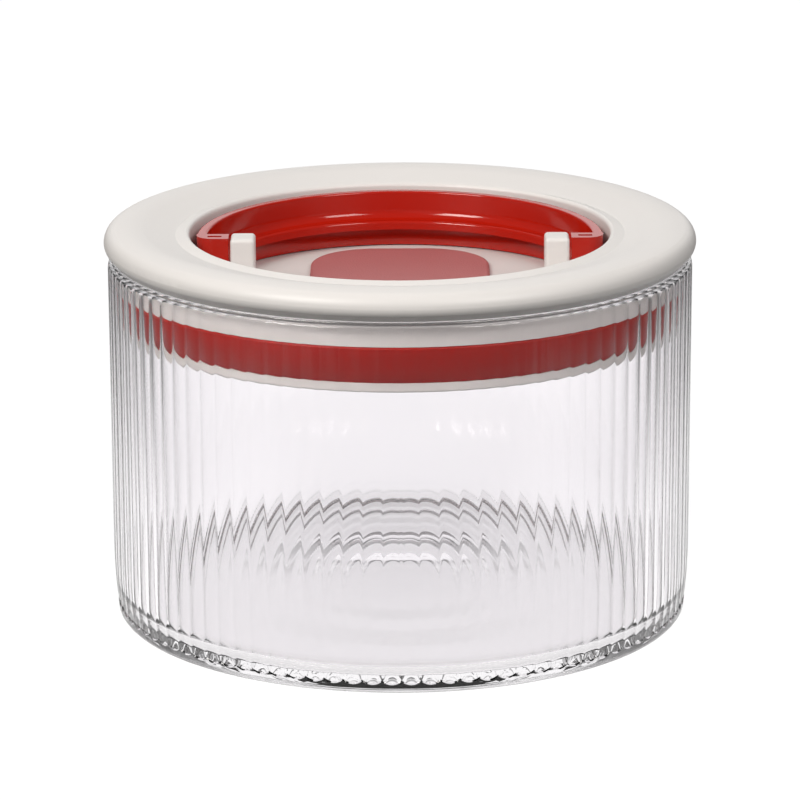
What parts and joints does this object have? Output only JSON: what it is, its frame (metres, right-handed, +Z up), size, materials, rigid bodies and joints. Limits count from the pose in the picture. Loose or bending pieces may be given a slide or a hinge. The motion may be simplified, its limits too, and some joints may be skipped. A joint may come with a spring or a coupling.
{
  "type": "glass storage jar",
  "caption": "Wide fluted glass storage jar with a press lid, a red seal and a folding half-ring handle that clamps the lid in the mouth.",
  "frame": {"origin": "centre of the jar's foot, on the surface that it stands on", "axes": "+Z up along the jar's axis; X along the handle's hinge pins; the handle folds down towards +Y, so -Y is the front"},
  "size_m": [0.1518, 0.1518, 0.102],
  "materials": {
    "clear_glass": "clear, polished",
    "white_plastic": "satin",
    "red_plastic": "polished",
    "red_silicone": "smooth, soft",
    "red_pad": "fine grain, matt",
    "pin_steel": "ground"
  },
  "bodies": {
    "jar": {"jar_body": "clear_glass"},
    "lid": {"lid_cover": "white_plastic", "seal_ring": "red_silicone", "centre_pad": "red_pad"},
    "clamp": {"clamp_plate": "white_plastic", "pivot_pin_left": "pin_steel", "pivot_pin_right": "pin_steel"},
    "handle": {"handle": "red_plastic"}
  },
  "joints": [
    {"name": "lid_lift", "type": "slide", "parent": "jar", "child": "lid", "axis": [0, 0, 1], "range_m": [0, 0.06]},
    {"name": "clamp_drop", "type": "slide", "parent": "lid", "child": "clamp", "axis": [0, 0, 1], "range_m": [-0.0015, 0], "deforming": ["seal_ring"]},
    {"name": "handle_fold", "type": "hinge", "parent": "clamp", "child": "handle", "pos_m": [0, -0.0014, 0.08858], "axis": [1, 0, 0], "range_deg": [0, 90]}
  ],
  "couplings": [
    {"joint": "clamp_drop", "follows": "handle_fold", "m_per_rad": -0.000954}
  ]
}
